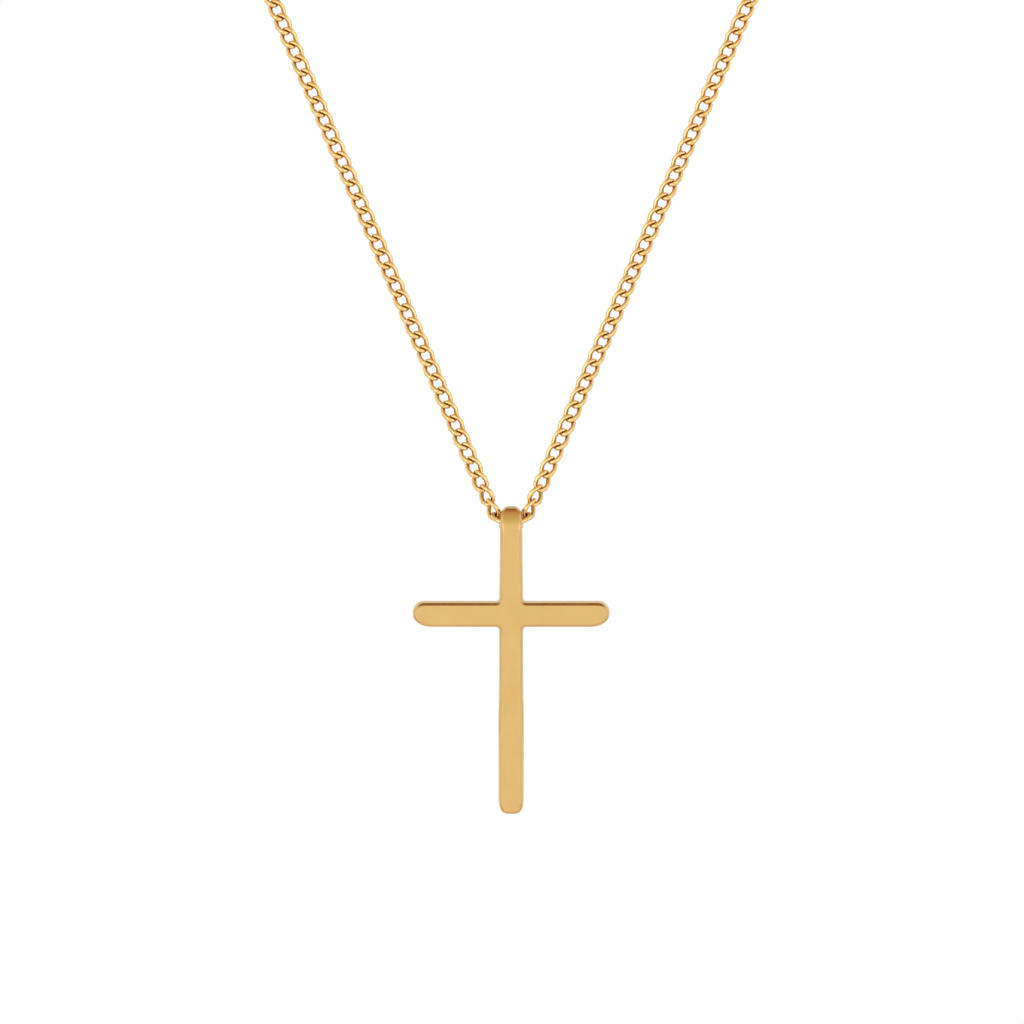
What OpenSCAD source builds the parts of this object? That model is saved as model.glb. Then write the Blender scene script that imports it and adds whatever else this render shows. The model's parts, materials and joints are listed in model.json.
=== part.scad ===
// Cross pendant with a rolled-over bail, hanging on a fine curb chain that is closed by a clasp.
// Millimetres. +Z is up, the wearer faces -Y, and the origin is on the nape of the neck, at the
// middle of the clasp. The necklace is modelled as it hangs when worn.

/* [Cross] */
// Height of the cross, from the top of the bail to the foot
cross_h = 30; // [26:0.5:40]
// Width across both arms
cross_w = 19.2; // [15:0.2:26]
// Widest width of the post, above the foot
post_w = 2.5; // [2.2:0.02:3]
// Height of the arms
arm_h = 2.54; // [2:0.02:3]
// Depth of the arms' centre line below the top of the bail
arm_drop = 10.45; // [9.5:0.05:14]
// Thickness of the plate that the cross is cut from
plate_t = 1.45; // [1.1:0.05:1.7]
// Radius in the inner corners, where the arms meet the post
crotch_r = 0.3; // [0.1:0.05:0.5]
// Angle by which the foot swings back, so that the weight hangs under the bail
hang_tilt = 5; // [3:0.5:7]

/* [Bail] */
// Width of the strip that is rolled over into the bail
bail_w = 2.15; // [2:0.01:2.4]
// Thickness of the rolled strip
bail_wall = 0.48; // [0.4:0.02:0.7]
// Room between a link that lies across the tunnel and the tunnel's wall
bail_play = 0.47; // [0.46:0.01:0.7]
// Distance from the tunnel's axis down to where the strip meets the back of the post
bail_tail = 4.7; // [4:0.1:7]
// Width of the rounding of the strip's top corners, seen from the front
bail_corner_w = 0.8; // [0.4:0.05:1]
// Height of that rounding
bail_corner_h = 1.25; // [0.6:0.05:1.5]

/* [Chain] */
// Width of a link
link_w = 1.7; // [1.6:0.05:1.9]
// Diameter of the links' wire
wire_d = 0.4; // [0.32:0.01:0.42]
// Distance from one link to the next
link_pitch = 1.5; // [1.45:0.01:1.6]
// Free play from one link to the next
link_play = 0.12; // [0.1:0.01:0.16]
// Turn of a link about its own length, from one end to the other
link_twist = 90; // [80:1:95]
// Links in each leg of the V in front of the chest
leg_links = 39; // [30:1:42]
// Angle of each leg from the vertical, seen from the front
leg_angle = 23.3; // [20:0.1:27]
// Angle by which the chest leans back
chest_lean = 10; // [6:1:14]
// Thickness of the chain where it lies flat
chain_t = 1.05; // [0.9:0.05:1.2]
// Width of the necklace across the neck
necklace_w = 98; // [96:0.5:110]
// Distance from the nape forwards to the bail
necklace_reach = 98; // [90:0.5:105]
// Drop from the nape to the chain's lowest point
necklace_drop = 130; // [122:0.5:140]

/* [Clasp] */
// Length of the clasp between the centres of its eye and its hook
clasp_l = 5.4; // [5:0.1:8]
// Thickness of the clasp
clasp_t = 1.2; // [1:0.1:1.4]
// Outer radius of the clasp's hook
hook_r = 2.1; // [1.9:0.05:2.6]
// Radius of the hole inside the hook
hook_hole_r = 1.3; // [1.2:0.05:1.5]
// Outer radius of the clasp's eye
eye_r = 1.25; // [1.15:0.05:1.5]
// Radius of the hole in the eye
eye_hole_r = 0.65; // [0.6:0.05:0.8]
// Middle radius of the jump ring at each end of the chain
ring_r = 1.45; // [1.35:0.05:1.8]
// Diameter of the jump rings' wire
ring_wire_d = 0.5; // [0.4:0.05:0.6]
// Clear gap between metal parts that only hang in each other
gap = 0.1; // [0.1:0.01:0.12]

/* [Hidden] */
$fn = 64;
eps = 0.01;

// The chain's route on its right-hand side, as points chosen by hand: from the collar bone past the
// side of the neck to the end of the chain at the clasp. They are shares of half the necklace's
// width, of its reach and of its drop. In front of them the leg runs straight from the lowest point.
ROUTE = [
    [0.765, -0.842, -0.323],
    [0.918, -0.724, -0.185],
    [1, -0.551, -0.1],
    [0.959, -0.347, -0.05],
    [0.765, -0.173, -0.019],
    [0.449, -0.051, -0.004]
];
route_scale = [necklace_w / 2, necklace_reach, necklace_drop];
neck_axis_y = -necklace_reach / 2;
RINGS_PER_SPAN = 6;
TUBE_SIDES = 8;

// The links nearest to the bail, from the middle outwards: their slope above the horizontal as a
// difference from the leg's own slope, their roll out of the chain's plane, and their twist as a
// share of link_twist. They are pulled edge-on where they bend round into the bail.
SADDLE_SLOPE = 0;
SADDLE_ROLL = 1;
SADDLE_TWIST = 2;
SADDLE = [
    [-13, 62, 1.51],
    [0.7, 74, 1],
    [1.6, 36.6, 1],
    [-0.6, 27.4, 1]
];
// First joint beside the middle link, and the middle link's height above it, as shares of the pitch
SADDLE_RUN = 0.505;
SADDLE_RISE = 0.146;
// Half the thickness of the rolled links where they pass the bail, as a share of a link's width
SADDLE_HALF_T = 0.401;

// Widths of the post, as shares: depth below the top by cross_h, width by post_w
POST = [
    [0.16, 0.89],
    [0.24, 0.918],
    [0.3, 0.945],
    [0.45, 0.93],
    [0.565, 0.945],
    [0.63, 0.969],
    [0.68, 0.998],
    [0.745, 1],
    [0.87, 0.986],
    [0.954, 0.984]
];
// Rounded ends, as shares of the width or height that they close
FOOT_DEPTH = 0.555;
FOOT_POWER = 2.6;
ARM_TOP_RX = 0.44;
ARM_TOP_RZ = 0.44;
ARM_LOW_RX = 0.735;
ARM_LOW_RZ = 0.49;
CORNER_STEPS = 7;

bore_r = link_w / 2 + bail_play;
bail_r = bore_r + bail_wall;
leg_slope = 90 - leg_angle;
saddle_x = SADDLE_RUN * link_pitch;
saddle_slope = leg_slope + SADDLE[0][SADDLE_SLOPE];
// The roof of the bail rests on the legs of the chain where they pass its sides.
hinge_rise = (bail_w / 2 + gap - saddle_x) * tan(saddle_slope)
    + SADDLE_HALF_T * link_w / cos(saddle_slope) - bore_r;
low_point = [0, -necklace_reach, -necklace_drop];
hinge = low_point + [0, 0, hinge_rise];

link_a = (link_pitch + link_play + wire_d) / 2;
link_b = (link_w - wire_d) / 2;
LINK_POWER = 2.6;
LINK_STEPS = 12;
WIRE_SIDES = 5;

function unit(v) = v / norm(v);
function spread(c, power) = sign(c) * pow(abs(c), 2 / power);
function squareness(t, across) = t - across * (t * across);
function mirrored(p) = [-p[0], p[1]];
function backwards(list) = [for (i = [len(list) - 1:-1:0]) list[i]];

// A rounded corner of half-sizes rx and rz about a centre, from angle a0 to a1
function corner(centre, rx, rz, power, a0, a1) = [
    for (i = [0:CORNER_STEPS])
        let (t = a0 + (a1 - a0) * i / CORNER_STEPS)
        centre + [rx * spread(cos(t), power), rz * spread(sin(t), power)]
];

// Front outlines, in x and height above the tunnel's axis
function post_side() = concat(
    corner([0, bail_r - cross_h + FOOT_DEPTH * post_w],
        POST[len(POST) - 1][1] * post_w / 2, FOOT_DEPTH * post_w, FOOT_POWER, -90, 0),
    [for (i = [len(POST) - 1:-1:0]) [POST[i][1] * post_w / 2, bail_r - POST[i][0] * cross_h]],
    [[bail_w / 2, 0]],
    corner([bail_w / 2 - bail_corner_w, bail_r - bail_corner_h], bail_corner_w, bail_corner_h, 2, 0, 90)
);
function arm_end() = concat(
    corner([cross_w / 2 - ARM_LOW_RX * arm_h, ARM_LOW_RZ * arm_h - arm_h / 2],
        ARM_LOW_RX * arm_h, ARM_LOW_RZ * arm_h, 2, -90, 0),
    corner([cross_w / 2 - ARM_TOP_RX * arm_h, arm_h / 2 - ARM_TOP_RZ * arm_h],
        ARM_TOP_RX * arm_h, ARM_TOP_RZ * arm_h, 2, 0, 90)
);
// Half width of the post at the depth of the arms
crossing_half_w = lookup(arm_drop / cross_h, POST) * post_w / 2;

module symmetric_outline(side)
    polygon(concat(side, [for (p = backwards(side)) if (abs(p[0]) > eps) mirrored(p)]));

module crotch_fillets()
    for (sx = [-1, 1], sz = [-1, 1])
        scale([sx, sz])
            translate([crossing_half_w - eps, arm_h / 2 - eps])
                difference() {
                    square(crotch_r + eps);
                    translate([crotch_r + eps, crotch_r + eps]) circle(crotch_r);
                }

module front_outline() {
    symmetric_outline(post_side());
    translate([0, bail_r - arm_drop]) {
        symmetric_outline(arm_end());
        crotch_fillets();
    }
}

// A round of radius r whose two tangents run to a point below it
module drop_outline(r, tip) {
    reach = norm(tip);
    toward = atan2(tip[1], tip[0]);
    open = acos(r / reach);
    circle(r);
    polygon([
        [0, 0],
        r * [cos(toward - open), sin(toward - open)],
        tip,
        r * [cos(toward + open), sin(toward + open)]
    ]);
}

// Side profile, in depth behind the tunnel's axis and height: the plate, and the roll at its top
module side_outline() {
    back = plate_t - bail_r;
    translate([-bail_r, bail_r - cross_h]) square([plate_t, cross_h - bail_r]);
    drop_outline(bail_r, [back, -bail_tail]);
}

module tunnel_outline()
    drop_outline(bore_r, [plate_t - bail_r + bail_wall / 2, -bail_tail + 3 * bail_wall]);

// Turns a flat outline to face the front, or to the side
module face_front(depth) rotate([90, 0, 0]) linear_extrude(depth, center = true) children();
module face_side(width) rotate([90, 0, 90]) linear_extrude(width, center = true) children();

module cross()
    color("goldenrod")
        translate(hinge)
            rotate([hang_tilt, 0, 0])
                difference() {
                    intersection() {
                        face_front(2 * bail_r + 2 * eps) front_outline();
                        face_side(cross_w + 2 * eps) side_outline();
                    }
                    face_side(cross_w) tunnel_outline();
                }

// One link: an oval of round wire along x, turned about x by twist from end to end
function link_centre(t, twist) =
    let (
        x = link_a * spread(cos(t), LINK_POWER),
        y = link_b * spread(sin(t), LINK_POWER),
        turn = twist * x / (2 * link_a)
    )
    [x, y * cos(turn), y * sin(turn)];
function link_face(t, twist) =
    let (turn = twist * spread(cos(t), LINK_POWER) / 2)
    [0, -sin(turn), cos(turn)];
function link_ring(t, twist) =
    let (
        step = 1,
        along = unit(link_centre(t + step, twist) - link_centre(t - step, twist)),
        up = unit(squareness(link_face(t, twist), along)),
        out = cross(along, up)
    )
    [for (j = [0:WIRE_SIDES - 1])
        let (s = 360 * (j + 0.5) / WIRE_SIDES)
        link_centre(t, twist) + wire_d / 2 * (cos(s) * out + sin(s) * up)];

module link(twist) {
    points = [
        for (i = [0:LINK_STEPS - 1], p = link_ring(360 * i / LINK_STEPS, twist)) p
    ];
    faces = [
        for (i = [0:LINK_STEPS - 1], j = [0:WIRE_SIDES - 1])
            let (
                here = i * WIRE_SIDES,
                next = (i + 1) % LINK_STEPS * WIRE_SIDES,
                k = (j + 1) % WIRE_SIDES
            )
            each [
                [here + j, next + k, next + j],
                [here + j, here + k, next + k]
            ]
    ];
    polyhedron(points, faces);
}

// Sets a link at a place, with its length along a direction and its flat side to a face direction
module set_link(place, along, face, roll, twist) {
    x = unit(along);
    z = unit(squareness(face, x));
    y = cross(z, x);
    multmatrix([
        [x[0], y[0], z[0], place[0]],
        [x[1], y[1], z[1], place[1]],
        [x[2], y[2], z[2], place[2]],
        [0, 0, 0, 1]
    ])
        rotate([roll, 0, 0]) link(twist);
}

// Direction of a leg, up and outwards on the right-hand side, for a slope above the horizontal
function leg_direction(slope) = unit([cos(slope), sin(slope) * tan(chest_lean), sin(slope)]);
function saddle_row(i) = i < len(SADDLE) ? SADDLE[i] : [0, 0, 1];
leg_face = [0, -cos(chest_lean), sin(chest_lean)];
function leg_joints(i = 0, from = low_point + [saddle_x, 0, 0]) =
    i == leg_links ? [from]
    : let (to = from + link_pitch * leg_direction(leg_slope + saddle_row(i)[SADDLE_SLOPE]))
        concat([from], leg_joints(i + 1, to));
LEG = leg_joints();

module leg()
    for (i = [0:leg_links - 1])
        set_link((LEG[i] + LEG[i + 1]) / 2, LEG[i + 1] - LEG[i], leg_face,
            saddle_row(i)[SADDLE_ROLL], link_twist * saddle_row(i)[SADDLE_TWIST]);

module chain_front()
    color("gold") {
        set_link(low_point + [0, 0, SADDLE_RISE * link_pitch], [1, 0, 0], [0, 0, 1], 0, 0);
        for (side = [0, 1]) mirror([side, 0, 0]) leg();
    }

// The jump ring at the hook's end hangs in the hook's hole, and the last link hangs in the ring.
// The same holds at the eye's end, mirrored.
hook_x = clasp_l / 2;
function ring_x(hole_x, hole_r) =
    hole_x + hole_r + sqrt(pow(ring_r - ring_wire_d / 2 - gap, 2) - pow(clasp_t / 2, 2));
hook_ring_x = ring_x(hook_x, hook_hole_r);
eye_ring_x = ring_x(hook_x, eye_hole_r);
function last_link_x(at) = at + ring_r - ring_wire_d / 2 - gap - wire_d / 2 + link_a;

// The hidden stretch of one side, from the leg's last link to the end link at the clasp
function stretch_points(last_x) = concat(
    [LEG[leg_links] + (link_a + wire_d / 2 + gap - link_pitch / 2) * leg_direction(leg_slope)],
    [for (p = ROUTE) [for (k = [0:2]) p[k] * route_scale[k]]],
    [[last_x + link_a + wire_d / 2 + gap, 0, 0]]
);
function through(a, b, c, d, t) =
    (2 * b + (c - a) * t + (2 * a - 5 * b + 4 * c - d) * t * t + (3 * b - a - 3 * c + d) * t * t * t) / 2;
function smooth_route(p) =
    let (
        n = len(p) - 1,
        before = 2 * p[0] - p[1],
        after = p[n] + [p[n][0] - p[n - 1][0], 0, 0]
    )
    concat(
        [for (i = [0:n - 1], k = [0:RINGS_PER_SPAN - 1])
            through(i == 0 ? before : p[i - 1], p[i], p[i + 1],
                i == n - 1 ? after : p[i + 2], k / RINGS_PER_SPAN)],
        [p[n]]
    );
// The chain lies flat on the chest in front, and then flat against the neck
function lie_flat(p, share) =
    let (w = min(1, 2 * share))
    (1 - w) * leg_face + w * unit([p[0], p[1] - neck_axis_y, 0]);

module flat_tube(path) {
    n = len(path) - 1;
    points = [
        for (i = [0:n])
            let (
                along = unit(path[min(n, i + 1)] - path[max(0, i - 1)]),
                face = unit(squareness(lie_flat(path[i], i / n), along)),
                side = cross(face, along)
            )
            for (j = [0:TUBE_SIDES - 1])
                let (s = 360 * (j + 0.5) / TUBE_SIDES)
                path[i] + link_w / 2 * cos(s) * side + chain_t / 2 * sin(s) * face
    ];
    faces = concat(
        [[for (j = [TUBE_SIDES - 1:-1:0]) j]],
        [[for (j = [0:TUBE_SIDES - 1]) n * TUBE_SIDES + j]],
        [for (i = [0:n - 1], j = [0:TUBE_SIDES - 1])
            let (k = (j + 1) % TUBE_SIDES, here = i * TUBE_SIDES, next = here + TUBE_SIDES)
            [here + j, here + k, next + k, next + j]]
    );
    polyhedron(points, faces);
}

module back_side(ring_at) {
    last_x = last_link_x(ring_at);
    // The end link has half the twist of the others, so that it stands across its jump ring
    set_link([last_x, 0, 0], [1, 0, 0], [0, 1, 0], link_twist / 4, link_twist / 2);
    flat_tube(smooth_route(stretch_points(last_x)));
}

module chain_back()
    color("gold") {
        back_side(hook_ring_x);
        mirror([1, 0, 0]) back_side(eye_ring_x);
    }

module clasp_outline()
    difference() {
        translate([hook_x, 0]) {
            circle(hook_r);
            rotate(90) taper(hook_r, eye_r, clasp_l);
        }
        translate([hook_x, 0]) circle(hook_hole_r);
        translate([-hook_x, 0]) circle(eye_hole_r);
    }
// Two rounds a distance apart along y, joined by their common tangents
module taper(r_near, r_far, distance) {
    lean = acos((r_near - r_far) / distance);
    translate([0, distance]) circle(r_far);
    polygon([
        [0, 0],
        r_near * [sin(lean), cos(lean)],
        [0, distance] + r_far * [sin(lean), cos(lean)],
        [0, distance],
        [0, distance] + r_far * [-sin(lean), cos(lean)],
        r_near * [-sin(lean), cos(lean)]
    ]);
}

module clasp() color("gold") face_front(clasp_t) clasp_outline();

module jump_ring(x) translate([x, 0, 0]) rotate_extrude() translate([ring_r, 0]) circle(ring_wire_d / 2);
module end_ring_right() color("gold") jump_ring(hook_ring_x);
module end_ring_left() color("gold") jump_ring(-eye_ring_x);

cross();
chain_front();
chain_back();
clasp();
end_ring_left();
end_ring_right();
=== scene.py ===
"""A satin gold cross pendant on a polished curb chain, hung as it is worn, in a white studio.

Sizes are in millimetres until a piece is finished, and the frame is metres. +Z is up, the wearer
faces -Y, and the origin is at the clasp on the nape of the neck.
"""

import json
import math

import bmesh
import bpy
from mathutils import Matrix, Vector

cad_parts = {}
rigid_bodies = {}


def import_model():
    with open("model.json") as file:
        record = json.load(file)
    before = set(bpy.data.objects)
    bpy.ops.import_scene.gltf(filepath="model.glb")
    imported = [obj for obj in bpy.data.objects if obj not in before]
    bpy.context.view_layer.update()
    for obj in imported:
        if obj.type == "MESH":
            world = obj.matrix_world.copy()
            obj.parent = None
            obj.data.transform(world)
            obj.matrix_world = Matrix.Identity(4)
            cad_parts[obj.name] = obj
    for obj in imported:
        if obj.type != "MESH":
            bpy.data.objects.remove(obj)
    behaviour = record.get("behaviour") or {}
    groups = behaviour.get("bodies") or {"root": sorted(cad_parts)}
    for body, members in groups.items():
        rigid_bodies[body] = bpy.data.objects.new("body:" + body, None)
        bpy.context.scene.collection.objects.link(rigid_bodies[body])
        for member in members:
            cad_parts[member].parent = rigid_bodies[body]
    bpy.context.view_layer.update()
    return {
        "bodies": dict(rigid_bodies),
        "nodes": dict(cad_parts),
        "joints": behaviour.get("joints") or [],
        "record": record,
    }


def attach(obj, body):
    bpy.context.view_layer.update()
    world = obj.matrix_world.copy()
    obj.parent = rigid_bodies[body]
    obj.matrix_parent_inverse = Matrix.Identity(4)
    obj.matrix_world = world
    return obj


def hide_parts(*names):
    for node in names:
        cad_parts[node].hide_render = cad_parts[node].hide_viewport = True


MM = 0.001

# The cross, in the plane of its plate, with heights from the axis of the bail's tunnel
CROSS_HEIGHT = 30.1
CROSS_WIDTH = 19.2
POST_WIDTH = 2.5
ARM_HEIGHT = 2.54
ARM_DROP = 10.5  # from the top of the bail to the middle of the arms
PLATE_THICKNESS = 1.45
CROTCH_RADIUS = 0.3
CHAMFER = 0.34
EDGE_RADIUS = 0.02
EDGE_DEPTH_RATIO = 3.9  # how much deeper an edge goes into the thickness than across the face
HANG_TILT = 5.0  # degrees, foot back, so that the weight hangs below the bail
FOOT_DEPTH = 0.74  # of the rounded foot, by POST_WIDTH
FOOT_POWER = 3.3  # how square the foot is, where 2 is an ellipse
# Corners at the ends of the arms, by ARM_HEIGHT: their run along the arm and across it
LOW_CORNER = (0.735, 0.49)
TOP_CORNER = (0.44, 0.44)
# Width of the post, as shares: depth below the top by CROSS_HEIGHT, width by POST_WIDTH
POST_WIDTHS = (
    (0.938, 0.985),
    (0.87, 0.986),
    (0.745, 1.0),
    (0.68, 0.998),
    (0.63, 0.969),
    (0.565, 0.945),
    (0.45, 0.93),
    (0.3, 0.945),
    (0.24, 0.918),
    (0.16, 0.89),
)

# The bail, a strip rolled over from the top of the post
BAIL_WIDTH = 2.15
BAIL_WALL = 0.48
TUNNEL_RADIUS = 1.32
BAIL_RADIUS = TUNNEL_RADIUS + BAIL_WALL
BAIL_TAIL = 4.7  # from the tunnel's axis down to where the strip meets the back of the post
BAIL_CORNER_WIDTH = 0.65  # how much narrower either side of the crown is at its top
BAIL_CORNER_HEIGHT = 1.25  # how far down from the top it narrows
STRIP_HEIGHTS = (-2.7, -2.3, -1.9, -1.5, -1.1, -0.7, -0.35, 0.0)
ROLL_STEPS = 26
TAIL_STEPS = 4
TAIL_OVERRUN = 1.08  # the strip's end runs on into the post by this factor
# The crown is cut lengthwise at these places, above this height, so that it can curve
CROWN_CUTS = (-0.6, -0.3, 0, 0.3, 0.6)
CROWN_FOOT = -0.4
FRONT = -BAIL_RADIUS
PLATE_TOP = BAIL_RADIUS - POST_WIDTHS[-1][0] * CROSS_HEIGHT

# The curb chain
WIRE = 0.47
LINK_WIDTH = 1.75
PITCH = 1.5
# Half the length and half the width of a link, to the middle of its wire
LINK_A = (PITCH + WIRE) / 2
LINK_B = (LINK_WIDTH - WIRE) / 2
LINK_TWIST = 90.0
LINK_POWER = 2.1
LINK_SIDES = 6
LINK_STEPS = 12
LEG_LINKS = 39
LEG_SLOPE = 66.7
CHEST_LEAN = 10.0
# Links nearest the bail, in degrees: what is added to the leg's slope, and the roll
SADDLE = ((-19.0, 100.0), (0.0, 58.0), (-2.0, 42.0), (0.0, 24.0), (0.0, 8.0))
# By PITCH: where the legs start beside and above the low point, and the height of the middle link
SADDLE_RUN = 0.37
SADDLE_LIFT = 0.1
SADDLE_RISE = 0.146
LOW_POINT = Vector((0, -98, -130))
HINGE = LOW_POINT + Vector((0, 0, 0.4))
# The hidden stretch, as shares of half the necklace's width, its reach and its drop
NECKLACE = (49.0, 98.0, 130.0)
ROUTE = (
    (0.765, -0.842, -0.323),
    (0.918, -0.724, -0.185),
    (1.0, -0.551, -0.1),
    (0.959, -0.347, -0.05),
    (0.765, -0.173, -0.019),
    (0.449, -0.051, -0.004),
)
ROUTE_STEPS = 24
NECK_AXIS = Vector((0, -49, 0))

# The clasp and its jump rings
CLASP_LENGTH = 5.4
CLASP_THICKNESS = 1.2
CLASP_ROUNDING = 0.22
HOOK_X = CLASP_LENGTH / 2
HOOK_RADIUS = 2.1
HOOK_HOLE = 1.3
EYE_RADIUS = 1.25
EYE_HOLE = 0.65
RING_RADIUS = 1.45
RING_WIRE = 0.5
GAP = 0.1  # between the pieces that hang in each other at the nape

# The studio
FRAME_MIDDLE = LOW_POINT + Vector((0.08, -1.7, 1.62))
FRAME_WIDTH = 99.6
FLOOR_HEIGHT = -1.0  # in metres, below all the lamps
FLOOR_REACH = 4.0
LAMP_TARGET = (0, -0.098, -0.13)  # in metres, where the bail hangs on the chain


def spread(c, power):
    """A cosine or sine for an oval that is squarer than an ellipse where the power is over 2."""
    return math.copysign(abs(c) ** (2 / power), c)


def arc(centre, rx, rz, start, end, steps, power=2.0):
    """Points of a rounded corner, from one angle to another."""
    turns = [math.radians(start + (end - start) * i / steps) for i in range(steps + 1)]
    return [
        Vector((
            centre[0] + rx * spread(math.cos(t), power),
            centre[1] + rz * spread(math.sin(t), power),
        ))
        for t in turns
    ]


def post_half_width(height):
    """Half the post's width at a height above the tunnel's axis."""
    rows = [(BAIL_RADIUS - d * CROSS_HEIGHT, w * POST_WIDTH / 2) for d, w in POST_WIDTHS]
    rows.append((0.0, BAIL_WIDTH / 2))
    for (z0, w0), (z1, w1) in zip(rows, rows[1:]):
        if z0 <= height <= z1:
            return w0 + (w1 - w0) * (height - z0) / (z1 - z0)
    return rows[0][1]


def cross_outline():
    """Right-hand half of the front outline, from the foot up to the start of the strip."""
    foot = BAIL_RADIUS - CROSS_HEIGHT
    arm = BAIL_RADIUS - ARM_DROP
    depth = FOOT_DEPTH * POST_WIDTH
    foot_half = POST_WIDTHS[0][1] * POST_WIDTH / 2
    half = post_half_width(arm)
    low, high = arm - ARM_HEIGHT / 2, arm + ARM_HEIGHT / 2
    heights = [BAIL_RADIUS - d * CROSS_HEIGHT for d, w in POST_WIDTHS]
    r = CROTCH_RADIUS
    side = arc((0, foot + depth), foot_half, depth, -90, 0, 14, FOOT_POWER)
    side += [Vector((post_half_width(z), z)) for z in heights if z < low - r]
    side += arc((half + r, low - r), r, r, 180, 90, 5)
    rx, rz = (share * ARM_HEIGHT for share in LOW_CORNER)
    side += arc((CROSS_WIDTH / 2 - rx, low + rz), rx, rz, -90, 0, 12)
    rx, rz = (share * ARM_HEIGHT for share in TOP_CORNER)
    side += arc((CROSS_WIDTH / 2 - rx, high - rz), rx, rz, 0, 90, 10)
    side += arc((half + r, high + r), r, r, 270, 180, 5)
    side += [Vector((post_half_width(z), z)) for z in heights if z > high + r]
    return side


def bevelled(bm, edges, size, segments):
    """Takes off edges, by a size across the faces beside them."""
    bmesh.ops.bevel(
        bm,
        geom=edges,
        offset=size,
        offset_type="OFFSET",
        segments=segments,
        profile=0.5,
        affect="EDGES",
        clamp_overlap=False,
        material=-1,
    )


def of_kind(geom, kind):
    """The vertices or the edges among what a bmesh operator made."""
    return [g for g in geom if isinstance(g, kind)]


def strip_depth(height):
    """Depth of the strip where it thins from the plate into the roll of the bail."""
    tip = Vector((PLATE_THICKNESS - BAIL_RADIUS + BAIL_WALL / 2, 3 * BAIL_WALL - BAIL_TAIL))
    turn = math.atan2(tip.y, tip.x) - math.acos(TUNNEL_RADIUS / tip.length)
    touch = TUNNEL_RADIUS * Vector((math.cos(turn), math.sin(turn)))
    if height < touch.y:
        back = touch.x + (tip.x - touch.x) * (height - touch.y) / (tip.y - touch.y)
    else:
        back = -math.sqrt(TUNNEL_RADIUS**2 - height**2)
    return min(PLATE_THICKNESS, back + BAIL_RADIUS)


def on_plate_top(verts):
    return all(abs(v.co.z - PLATE_TOP) < 1e-5 for v in verts)


def plate_rims(bm):
    """The edges round the front and the back of the plate, apart from its open top."""
    level = [e for e in bm.edges if abs(e.verts[0].co.y - e.verts[1].co.y) < 1e-6]
    return [e for e in level if not on_plate_top(e.verts)]


def cut_plate(bm):
    """Cuts the plate to its outline, open at the top, and gives its edges their shape."""
    right = cross_outline()
    left = [Vector((-p.x, p.y)) for p in reversed(right) if p.x > 1e-6]
    face = bm.faces.new([bm.verts.new((p.x, FRONT, p.y)) for p in right + left])
    new = bmesh.ops.extrude_face_region(bm, geom=[face])["geom"]
    thin = PLATE_THICKNESS / EDGE_DEPTH_RATIO
    bmesh.ops.translate(bm, verts=of_kind(new, bmesh.types.BMVert), vec=(0, thin, 0))
    bmesh.ops.recalc_face_normals(bm, faces=bm.faces)
    top = [f for f in bm.faces if on_plate_top(f.verts)]
    bmesh.ops.delete(bm, geom=top, context="FACES_ONLY")
    bevelled(bm, [e for e in plate_rims(bm) if abs(e.verts[0].co.y - FRONT) < 1e-6], CHAMFER, 2)
    bevelled(bm, plate_rims(bm), EDGE_RADIUS, 2)
    # The chamfer reaches deeper into the plate's thickness than across its face, and from it
    # the sides lean out to the back.
    for v in bm.verts:
        v.co.y = FRONT + (v.co.y - FRONT) * EDGE_DEPTH_RATIO


def draw_strip(bm, ring):
    """Draws the plate's open top out into a strip that thins up to the axis of the tunnel."""
    width, depth = post_half_width(PLATE_TOP), PLATE_THICKNESS
    for height in STRIP_HEIGHTS:
        new = bmesh.ops.extrude_edge_only(bm, edges=ring)["geom"]
        ring = of_kind(new, bmesh.types.BMEdge)
        wide, deep = post_half_width(height), strip_depth(height)
        for v in of_kind(new, bmesh.types.BMVert):
            v.co.x *= wide / width
            v.co.y = FRONT + (v.co.y - FRONT) * deep / depth
            v.co.z = height
        width, depth = wide, deep
    return ring


def roll_strip(bm, ring):
    """Rolls the strip over the tunnel and brings it down to the back of the post."""
    tail = Vector((PLATE_THICKNESS - BAIL_RADIUS, -BAIL_TAIL))
    leave = math.atan2(tail.y, tail.x) + math.acos(BAIL_RADIUS / tail.length)
    spun = bmesh.ops.spin(
        bm,
        geom=ring,
        cent=(0, 0, 0),
        axis=(1, 0, 0),
        dvec=(0, 0, 0),
        angle=-(math.pi - leave),
        steps=ROLL_STEPS,
        use_merge=False,
    )
    ring = of_kind(spun["geom_last"], bmesh.types.BMEdge)
    touch = BAIL_RADIUS * Vector((math.cos(leave), math.sin(leave)))
    step = (tail - touch) * TAIL_OVERRUN / TAIL_STEPS
    for _ in range(TAIL_STEPS):
        new = bmesh.ops.extrude_edge_only(bm, edges=ring)["geom"]
        ring = of_kind(new, bmesh.types.BMEdge)
        bmesh.ops.translate(bm, verts=of_kind(new, bmesh.types.BMVert), vec=(0, step.x, step.y))
    bmesh.ops.contextual_create(bm, geom=ring)


def round_crown(bm):
    """Rounds the crown of the bail off to both sides."""
    for x in CROWN_CUTS:
        near = [f for f in bm.faces if f.calc_center_median().z > CROWN_FOOT]
        parts = set(near) | {e for f in near for e in f.edges} | {v for f in near for v in f.verts}
        bmesh.ops.bisect_plane(
            bm, geom=list(parts), plane_co=(x, 0, 0), plane_no=(1, 0, 0), dist=1e-5
        )
    start = BAIL_RADIUS - BAIL_CORNER_HEIGHT
    for v in bm.verts:
        if v.co.z > start:
            over = min(1.0, (v.co.z - start) / BAIL_CORNER_HEIGHT)
            lost = BAIL_CORNER_WIDTH * (1 - math.sqrt(1 - over * over))
            v.co.x *= 1 - lost / (BAIL_WIDTH / 2)


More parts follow.
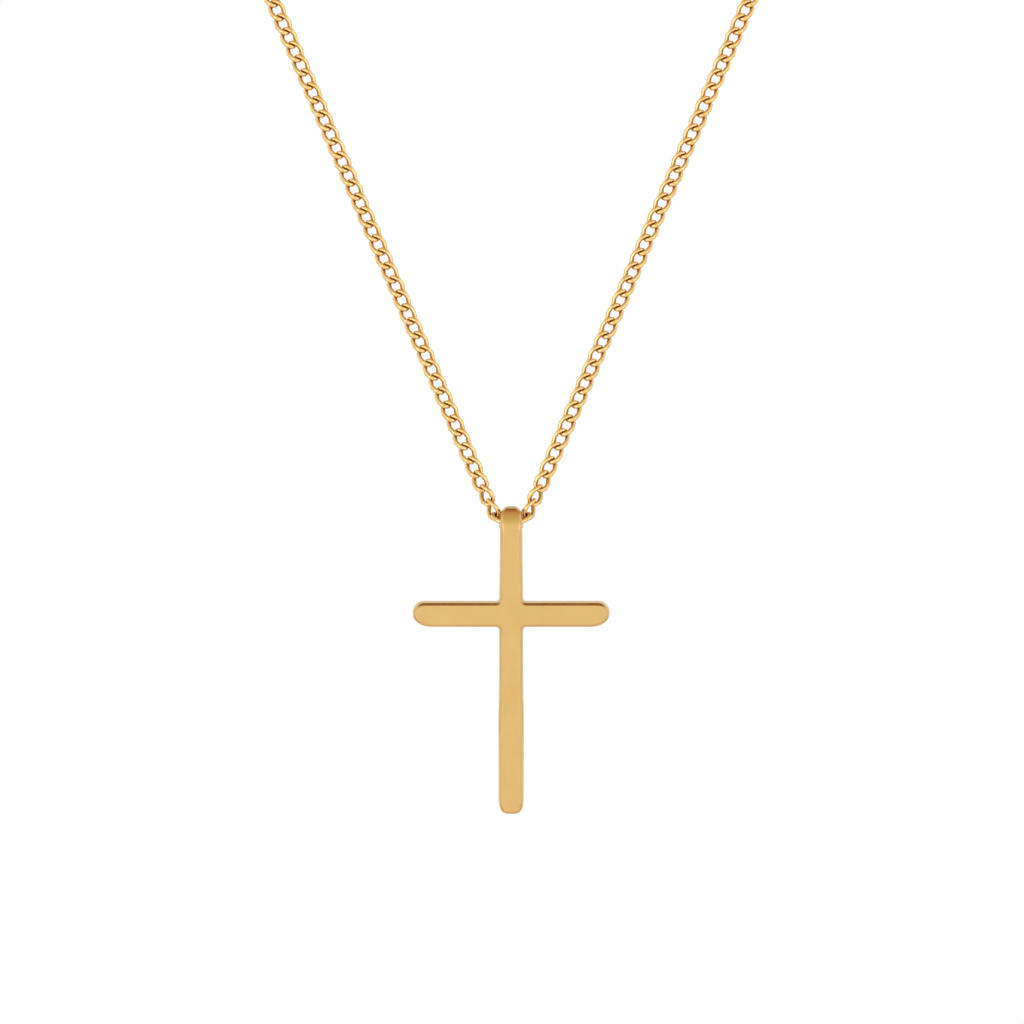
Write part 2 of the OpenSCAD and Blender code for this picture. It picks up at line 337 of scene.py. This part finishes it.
def made_cross():
    """The plate with its top drawn out and rolled over into the bail, hung by the bail."""
    bm = bmesh.new()
    cut_plate(bm)
    roll_strip(bm, draw_strip(bm, [e for e in bm.edges if e.is_boundary]))
    round_crown(bm)
    bmesh.ops.remove_doubles(bm, verts=bm.verts, dist=1e-4)
    bmesh.ops.recalc_face_normals(bm, faces=bm.faces)
    tilt = Matrix.Rotation(math.radians(HANG_TILT), 3, "X")
    bmesh.ops.rotate(bm, verts=bm.verts, cent=(0, 0, 0), matrix=tilt)
    bmesh.ops.translate(bm, verts=bm.verts, vec=HINGE)
    return bm


def wire_ring(ring_radius, wire_radius, sides, steps):
    """A closed ring of round wire about the Z axis."""
    bm = bmesh.new()
    wire = bmesh.ops.create_circle(bm, radius=wire_radius, segments=sides)["verts"]
    bmesh.ops.rotate(bm, verts=wire, cent=(0, 0, 0), matrix=Matrix.Rotation(math.pi / 2, 3, "X"))
    bmesh.ops.translate(bm, verts=wire, vec=(ring_radius, 0, 0))
    bmesh.ops.spin(
        bm,
        geom=bm.edges[:],
        cent=(0, 0, 0),
        axis=(0, 0, 1),
        dvec=(0, 0, 0),
        angle=2 * math.pi,
        steps=steps,
        use_merge=True,
    )
    return bm


def link_centre(t, twist):
    """The point of a twisted link's centre line at an angle round the link."""
    x = LINK_A * spread(math.cos(t), LINK_POWER)
    y = LINK_B * spread(math.sin(t), LINK_POWER)
    turn = twist * x / (2 * LINK_A)
    return Vector((x, y * math.cos(turn), y * math.sin(turn)))


def made_link(twist_deg):
    """A ring of round wire, drawn out into an oval along X and twisted from end to end."""
    twist = math.radians(twist_deg)
    bm = wire_ring(1, WIRE / 2, LINK_SIDES, LINK_STEPS)
    step = math.radians(1)
    # How far round the wire faces into its link, which the chain's material uses for painted
    # shade.
    inside = bm.verts.layers.float.new("inner_side")
    for v in bm.verts:
        t = math.atan2(v.co.y, v.co.x)
        out_by, up_by = math.hypot(v.co.x, v.co.y) - 1, v.co.z
        v[inside] = 0.5 - out_by / WIRE
        along = (link_centre(t + step, twist) - link_centre(t - step, twist)).normalized()
        turn = twist * spread(math.cos(t), LINK_POWER) / 2
        up = Vector((0, -math.sin(turn), math.cos(turn)))
        up = (up - along * up.dot(along)).normalized()
        v.co = link_centre(t, twist) + out_by * along.cross(up) + up_by * up
    bmesh.ops.recalc_face_normals(bm, faces=bm.faces)
    mesh = bpy.data.meshes.new("link")
    bm.to_mesh(mesh)
    bm.free()
    return mesh


def place_of(middle, along, face, roll):
    """The matrix that sets a link's length along a direction and its flat side to another."""
    x = along.normalized()
    z = (face - x * face.dot(x)).normalized()
    frame = Matrix((x, z.cross(x), z)).transposed().to_4x4()
    return Matrix.Translation(middle) @ frame @ Matrix.Rotation(math.radians(roll), 4, "X")


FLIP = Matrix.Scale(-1, 4, (1, 0, 0))
LINK_MESHES = {}


def add_link(bm, twist, matrix):
    """Adds a link to a chain. Its mesh is made once for each twist."""
    if twist not in LINK_MESHES:
        LINK_MESHES[twist] = made_link(twist)
    before = len(bm.verts)
    bm.from_mesh(LINK_MESHES[twist])
    bm.verts.ensure_lookup_table()
    bmesh.ops.transform(bm, matrix=matrix, verts=bm.verts[before:])


def leg_direction(slope):
    """The direction up the right-hand leg at a slope seen from the front, on a leaning chest."""
    a = math.radians(slope)
    lean = math.tan(math.radians(CHEST_LEAN))
    return Vector((math.cos(a), math.sin(a) * lean, math.sin(a))).normalized()


LEG_FACE = Vector((0, -math.cos(math.radians(CHEST_LEAN)), math.sin(math.radians(CHEST_LEAN))))


def saddle_row(i):
    return SADDLE[i] if i < len(SADDLE) else (0.0, 0.0)


def leg_joints():
    """The points where the links of the right-hand leg meet, from the bail upwards."""
    joints = [LOW_POINT + Vector((SADDLE_RUN * PITCH, 0, SADDLE_LIFT * PITCH))]
    for i in range(LEG_LINKS):
        joints.append(joints[-1] + PITCH * leg_direction(LEG_SLOPE + saddle_row(i)[0]))
    return joints


LEG = leg_joints()


def ring_x(hole):
    """How far from the middle a jump ring's centre lies, when it hangs in a hole of the clasp."""
    reach = RING_RADIUS - RING_WIRE / 2 - GAP
    return HOOK_X + hole + math.sqrt(reach**2 - (CLASP_THICKNESS / 2) ** 2)


def last_link_x(ring):
    """The same for the middle of the last link, which hangs in the jump ring."""
    return ring + RING_RADIUS - RING_WIRE / 2 - GAP - WIRE / 2 + LINK_A


def made_front_chain():
    """The middle link, flat in the bail, and the two legs, one the mirror image of the other."""
    bm = bmesh.new()
    middle = LOW_POINT + Vector((0, 0, SADDLE_RISE * PITCH))
    add_link(bm, 0, place_of(middle, Vector((1, 0, 0)), Vector((0, 0, 1)), 0))
    for i in range(LEG_LINKS):
        roll = saddle_row(i)[1]
        place = place_of((LEG[i] + LEG[i + 1]) / 2, LEG[i + 1] - LEG[i], LEG_FACE, roll)
        add_link(bm, LINK_TWIST, place)
        add_link(bm, LINK_TWIST, FLIP @ place)
    bmesh.ops.recalc_face_normals(bm, faces=bm.faces)
    return bm


def hidden_route(end_x):
    """Closely spaced points of the smooth curve from the top of a leg to the nape."""
    first = LEG[-1] + (LINK_A + WIRE / 2 + GAP - PITCH / 2) * leg_direction(LEG_SLOPE)
    way = [Vector([share * size for share, size in zip(q, NECKLACE)]) for q in ROUTE]
    p = [first] + way + [Vector((end_x, 0, 0))]
    before = 2 * p[0] - p[1]
    after = p[-1] + Vector((p[-1].x - p[-2].x, 0, 0))
    padded = [before] + p + [after]
    line = [LEG[-1]]
    for a, b, c, d in zip(padded, padded[1:], padded[2:], padded[3:]):
        for k in range(ROUTE_STEPS):
            t = k / ROUTE_STEPS
            line.append(
                (2 * b + (c - a) * t + (2 * a - 5 * b + 4 * c - d) * t**2
                 + (3 * b - a - 3 * c + d) * t**3) / 2
            )
    line.append(p[-1])
    return line


def even_points(line, pitch):
    """Points at an even distance along a line, as near to the pitch as fits a whole number."""
    lengths = [0.0]
    for a, b in zip(line, line[1:]):
        lengths.append(lengths[-1] + (b - a).length)
    count = round(lengths[-1] / pitch)
    points, k = [], 0
    for i in range(count + 1):
        want = lengths[-1] * i / count
        while k < len(line) - 2 and lengths[k + 1] < want:
            k += 1
        span = max(1e-9, lengths[k + 1] - lengths[k])
        points.append(line[k].lerp(line[k + 1], min(1, (want - lengths[k]) / span)))
    return points


def made_back_chain():
    """The hidden links of both legs. Their flat sides turn from the chest to the neck's skin."""
    bm = bmesh.new()
    for flip, hole in ((Matrix.Identity(4), HOOK_HOLE), (FLIP, EYE_HOLE)):
        last = last_link_x(ring_x(hole))
        joints = even_points(hidden_route(last + PITCH / 2), PITCH)
        count = len(joints) - 1
        for i in range(count):
            middle = (joints[i] + joints[i + 1]) / 2
            share = min(1, 2 * i / count)
            out = (middle - NECK_AXIS) * Vector((1, 1, 0))
            face = LEG_FACE.lerp(out.normalized(), share)
            place = place_of(middle, joints[i + 1] - joints[i], face, 0)
            add_link(bm, LINK_TWIST, flip @ place)
        place = place_of(
            Vector((last, 0, 0)), Vector((1, 0, 0)), Vector((0, 1, 0)), LINK_TWIST / 4
        )
        add_link(bm, LINK_TWIST / 2, flip @ place)
    bmesh.ops.recalc_face_normals(bm, faces=bm.faces)
    return bm


def made_ring(x):
    bm = wire_ring(RING_RADIUS, RING_WIRE / 2, sides=16, steps=40)
    bmesh.ops.translate(bm, verts=bm.verts, vec=(x, 0, 0))
    bmesh.ops.recalc_face_normals(bm, faces=bm.faces)
    return bm


def made_clasp():
    """Half of the clasp is cut to its outline, given its thickness, rounded and mirrored."""
    lean = math.degrees(math.acos((HOOK_RADIUS - EYE_RADIUS) / CLASP_LENGTH))
    half = arc((HOOK_X, 0), HOOK_RADIUS, HOOK_RADIUS, 0, 180 - lean, 16)
    half += arc((-HOOK_X, 0), EYE_RADIUS, EYE_RADIUS, 180 - lean, 180, 12)
    half += arc((-HOOK_X, 0), EYE_HOLE, EYE_HOLE, 180, 0, 12)
    half += arc((HOOK_X, 0), HOOK_HOLE, HOOK_HOLE, 180, 0, 18)
    bm = bmesh.new()
    back = CLASP_THICKNESS / 2
    face = bm.faces.new([bm.verts.new((p.x, -back, p.y)) for p in half])
    new = bmesh.ops.extrude_face_region(bm, geom=[face])["geom"]
    bmesh.ops.translate(bm, verts=of_kind(new, bmesh.types.BMVert), vec=(0, CLASP_THICKNESS, 0))
    bmesh.ops.recalc_face_normals(bm, faces=bm.faces)

    def on_axis(verts):
        return all(abs(v.co.z) < 1e-5 for v in verts)

    bmesh.ops.delete(bm, geom=[f for f in bm.faces if on_axis(f.verts)], context="FACES_ONLY")
    rim = [
        e
        for e in bm.edges
        if abs(e.verts[0].co.y - e.verts[1].co.y) < 1e-6 and not on_axis(e.verts)
    ]
    bevelled(bm, rim, CLASP_ROUNDING, 4)
    for v in bm.verts:
        if abs(v.co.z) < 1e-3:
            v.co.z = 0
    bmesh.ops.mirror(bm, geom=bm.verts[:] + bm.edges[:] + bm.faces[:], axis="Z", merge_dist=1e-4)
    bmesh.ops.recalc_face_normals(bm, faces=bm.faces)
    return bm


def linear(code):
    """An sRGB hex colour as linear RGBA."""
    parts = [int(code[i : i + 2], 16) / 255 for i in (0, 2, 4)]
    return [c / 12.92 if c <= 0.04045 else ((c + 0.055) / 1.055) ** 2.4 for c in parts] + [1.0]


def add_node(tree, kind, settings=None, values=None, links=None):
    """Adds a node, with its settings, its sockets' values, and links into its sockets."""
    node = tree.nodes.new(kind)
    for name, value in (settings or {}).items():
        setattr(node, name, value)
    for name, value in (values or {}).items():
        node.inputs[name].default_value = value
    for name, socket in (links or {}).items():
        tree.links.new(socket, node.inputs[name])
    return node


def new_material(name):
    material = bpy.data.materials.new(name)
    material.use_nodes = True
    material.node_tree.nodes.clear()
    return material, material.node_tree


def satin_gold():
    """Gold plating over a cast cross that was fine-blasted: an even, pale, soft metal, with a
    faint cloudiness from the blasting and a grain too fine to see singly."""
    material, tree = new_material("Satin_gold_plating")
    place = add_node(tree, "ShaderNodeTexCoord")
    cloud = add_node(
        tree,
        "ShaderNodeTexNoise",
        values={"Scale": 420.0, "Detail": 3.0, "Roughness": 0.55},
        links={"Vector": place.outputs["Object"]},
    )
    tone = add_node(tree, "ShaderNodeValToRGB", links={"Fac": cloud.outputs["Fac"]})
    tone.color_ramp.elements[0].position = 0.3
    tone.color_ramp.elements[0].color = linear("D8B676")
    tone.color_ramp.elements[1].position = 0.7
    tone.color_ramp.elements[1].color = linear("DCBB7C")
    # The blasted grain is near 0.05 mm, drawn here at 0.12 mm so that the picture can hold it.
    grain = add_node(
        tree,
        "ShaderNodeTexNoise",
        values={"Scale": 8000.0, "Detail": 2.0, "Roughness": 0.6},
        links={"Vector": place.outputs["Object"]},
    )
    rough = add_node(
        tree,
        "ShaderNodeMapRange",
        values={"From Min": 0.3, "From Max": 0.7, "To Min": 0.3, "To Max": 0.35},
        links={"Value": cloud.outputs["Fac"]},
    )
    bump = add_node(
        tree,
        "ShaderNodeBump",
        values={"Strength": 0.12, "Distance": 0.00002},
        links={"Height": grain.outputs["Fac"]},
    )
    metal = add_node(
        tree,
        "ShaderNodeBsdfPrincipled",
        values={"Metallic": 1.0},
        links={
            "Base Color": tone.outputs["Color"],
            "Roughness": rough.outputs["Result"],
            "Normal": bump.outputs["Normal"],
        },
    )
    add_node(tree, "ShaderNodeOutputMaterial", links={"Surface": metal.outputs["BSDF"]})
    return material


def polished_gold():
    """Yellow gold plating over drawn and soldered wire, tumbled bright. Painted shade darkens the
    colour towards a brown in the crevices between the links and on the wire's inner side."""
    material, tree = new_material("Polished_gold_plating")
    place = add_node(tree, "ShaderNodeTexCoord")
    wear = add_node(
        tree,
        "ShaderNodeTexNoise",
        values={"Scale": 500.0, "Detail": 2.0, "Roughness": 0.5},
        links={"Vector": place.outputs["Object"]},
    )
    tone = add_node(tree, "ShaderNodeValToRGB", links={"Fac": wear.outputs["Fac"]})
    tone.color_ramp.elements[0].position = 0.3
    tone.color_ramp.elements[0].color = linear("F5D08A")
    tone.color_ramp.elements[1].position = 0.7
    tone.color_ramp.elements[1].color = linear("FADA9C")
    # The side of the wire that faces the inside of its link, from 0 outside to 1 inside
    side = add_node(tree, "ShaderNodeAttribute", {"attribute_name": "inner_side"})
    # Painted shade: the wire is darkened, down to a quarter, on its side that faces into the link.
    bright = add_node(
        tree,
        "ShaderNodeMapRange",
        values={"From Min": 0.45, "From Max": 0.95, "To Min": 1.0, "To Max": 0.25},
        links={"Value": side.outputs["Fac"]},
    )
    # Painted shade in the crevices, where the next metal is nearer than 0.25 mm.
    open_air = add_node(
        tree,
        "ShaderNodeAmbientOcclusion",
        {"samples": 8, "only_local": True},
        {"Distance": 0.00025},
    )
    reach = add_node(
        tree,
        "ShaderNodeMapRange",
        values={"From Min": 0.35, "From Max": 0.85},
        links={"Value": open_air.outputs["AO"]},
    )
    # How much of the painted shade is left out: 1 where the wire is open and faces outwards.
    unshaded_share = add_node(
        tree,
        "ShaderNodeMath",
        {"operation": "MULTIPLY"},
        links={0: reach.outputs["Result"], 1: bright.outputs["Result"]},
    )
    # Painted shade: the colour goes towards a dark brown where that share is low.
    colour = add_node(
        tree,
        "ShaderNodeMixRGB",
        values={"Color1": linear("A8660F")},
        links={"Fac": unshaded_share.outputs["Value"], "Color2": tone.outputs["Color"]},
    )
    rough = add_node(
        tree,
        "ShaderNodeMapRange",
        values={"From Min": 0.3, "From Max": 0.7, "To Min": 0.16, "To Max": 0.22},
        links={"Value": wear.outputs["Fac"]},
    )
    metal = add_node(
        tree,
        "ShaderNodeBsdfPrincipled",
        values={"Metallic": 1.0},
        links={"Base Color": colour.outputs["Color"], "Roughness": rough.outputs["Result"]},
    )
    add_node(tree, "ShaderNodeOutputMaterial", links={"Surface": metal.outputs["BSDF"]})
    return material


def finished(name, bm, material, body, node, flat_faces=False):
    """Turns a shape in millimetres into a piece that rides on a body and stands for a node."""
    bmesh.ops.scale(bm, verts=bm.verts, vec=(MM, MM, MM))
    for face in bm.faces:
        face.smooth = True
    mesh = bpy.data.meshes.new(name)
    bm.to_mesh(mesh)
    bm.free()
    mesh.materials.append(material)
    piece = bpy.data.objects.new(name, mesh)
    bpy.context.scene.collection.objects.link(piece)
    if flat_faces:
        even = piece.modifiers.new("Even_faces", "WEIGHTED_NORMAL")
        even.weight = 80
    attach(piece, body)
    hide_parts(node)


def made_floor():
    bm = bmesh.new()
    bmesh.ops.create_grid(bm, x_segments=1, y_segments=1, size=FLOOR_REACH)
    bmesh.ops.translate(bm, verts=bm.verts, vec=(0, 0, FLOOR_HEIGHT))
    mesh = bpy.data.meshes.new("Floor")
    bm.to_mesh(mesh)
    bm.free()
    # Matt off-white paint
    material, tree = new_material("Pale_floor_paint")
    paint = add_node(
        tree, "ShaderNodeBsdfPrincipled", values={"Base Color": linear("F4F2EF"), "Roughness": 0.9}
    )
    add_node(tree, "ShaderNodeOutputMaterial", links={"Surface": paint.outputs["BSDF"]})
    mesh.materials.append(material)
    floor = bpy.data.objects.new("Floor", mesh)
    bpy.context.scene.collection.objects.link(floor)


# The studio's walls, by the angle round from the front horizon over the top: their tone in sRGB.
# Below the horizon they are white, and the open back of the light tent over the cross is dark.
ROOM = (
    (-180, "FFFFFF"),
    (-5, "FFFFFF"),
    (10, "F1EBD6"),
    (36, "EBE0B2"),
    (52, "E4D5A8"),
    (72, "E0C2A0"),
    (87, "E6AC84"),
    (96, "E8905C"),
    (101, "643400"),
    (118, "643400"),
    (122, "F0EAE0"),
    (130, "FFFFFF"),
    (180, "FFFFFF"),
)


def made_room():
    """A white light tent, told by the angle about the X axis, with plain white ends."""
    world = bpy.data.worlds.new("White_studio")
    world.use_nodes = True
    tree = world.node_tree
    tree.nodes.clear()
    place = add_node(tree, "ShaderNodeTexCoord")
    split = add_node(tree, "ShaderNodeSeparateXYZ", links={"Vector": place.outputs["Generated"]})
    back = add_node(
        tree, "ShaderNodeMath", {"operation": "MULTIPLY"}, {1: -1.0}, {0: split.outputs["Y"]}
    )
    angle = add_node(
        tree,
        "ShaderNodeMath",
        {"operation": "ARCTAN2"},
        links={0: split.outputs["Z"], 1: back.outputs["Value"]},
    )
    share = add_node(
        tree,
        "ShaderNodeMapRange",
        values={"From Min": -math.pi, "From Max": math.pi},
        links={"Value": angle.outputs["Value"]},
    )
    walls = add_node(tree, "ShaderNodeValToRGB", links={"Fac": share.outputs["Result"]})
    stops = walls.color_ramp.elements
    stops[0].color, stops[1].color = linear(ROOM[0][1]), linear(ROOM[-1][1])
    for degrees, tone in ROOM[1:-1]:
        stops.new(degrees / 360 + 0.5).color = linear(tone)
    aside = add_node(
        tree, "ShaderNodeMath", {"operation": "ABSOLUTE"}, links={0: split.outputs["X"]}
    )
    end = add_node(
        tree,
        "ShaderNodeMapRange",
        values={"From Min": 0.5, "From Max": 0.8},
        links={"Value": aside.outputs["Value"]},
    )
    tone = add_node(
        tree,
        "ShaderNodeMixRGB",
        values={"Color2": linear("FFFFFF")},
        links={"Fac": end.outputs["Result"], "Color1": walls.outputs["Color"]},
    )
    sky = add_node(
        tree,
        "ShaderNodeBackground",
        values={"Strength": 1.0},
        links={"Color": tone.outputs["Color"]},
    )
    add_node(tree, "ShaderNodeOutputWorld", links={"Surface": sky.outputs["Background"]})
    bpy.context.scene.world = world


def soft_light(name, spot, aim, size, power):
    """A rectangular soft lamp, placed and sized in metres."""
    data = bpy.data.lights.new(name, "AREA")
    data.shape = "RECTANGLE"
    data.size, data.size_y = size
    data.energy = power
    lamp = bpy.data.objects.new(name, data)
    lamp.location = spot
    lamp.rotation_euler = (Vector(aim) - Vector(spot)).to_track_quat("-Z", "Y").to_euler()
    bpy.context.scene.collection.objects.link(lamp)


def made_camera():
    """A long lens, level, straight in front of the cross, as far off as the frame's width asks."""
    data = bpy.data.cameras.new("Camera")
    data.sensor_width = 36
    data.lens = 400
    data.clip_start, data.clip_end = 0.05, 50
    camera = bpy.data.objects.new("Camera", data)
    away = FRAME_WIDTH * MM * data.lens / data.sensor_width
    camera.location = FRAME_MIDDLE * MM + Vector((0, -away, 0))
    camera.rotation_euler = (math.radians(90), 0, 0)
    bpy.context.scene.collection.objects.link(camera)
    bpy.context.scene.camera = camera


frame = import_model()

made_camera()
made_floor()
made_room()
soft_light("Front", (0, -1.25, -0.41), LAMP_TARGET, (1.8, 0.76), 0.75)
soft_light("Key", (-0.7, -0.95, -0.4), LAMP_TARGET, (0.7, 0.5), 1.6)
soft_light("Fill", (0.75, -0.9, -0.35), LAMP_TARGET, (0.7, 0.5), 1.0)
soft_light("Floor_wash", (0, -0.1, -0.81), (0, -0.1, FLOOR_HEIGHT), (6.0, 6.0), 20.0)

satin = satin_gold()
polished = polished_gold()
finished("cross_cast", made_cross(), satin, "pendant", "cross", True)
finished("front_links", made_front_chain(), polished, "necklace", "chain_front")
finished("back_links", made_back_chain(), polished, "necklace", "chain_back")
finished("clasp_plate", made_clasp(), polished, "necklace", "clasp", True)
for name, x in (("end_ring_right", ring_x(HOOK_HOLE)), ("end_ring_left", -ring_x(EYE_HOLE))):
    finished(name + "_wire", made_ring(x), polished, "necklace", name)

bpy.context.scene.view_settings.view_transform = "Standard"
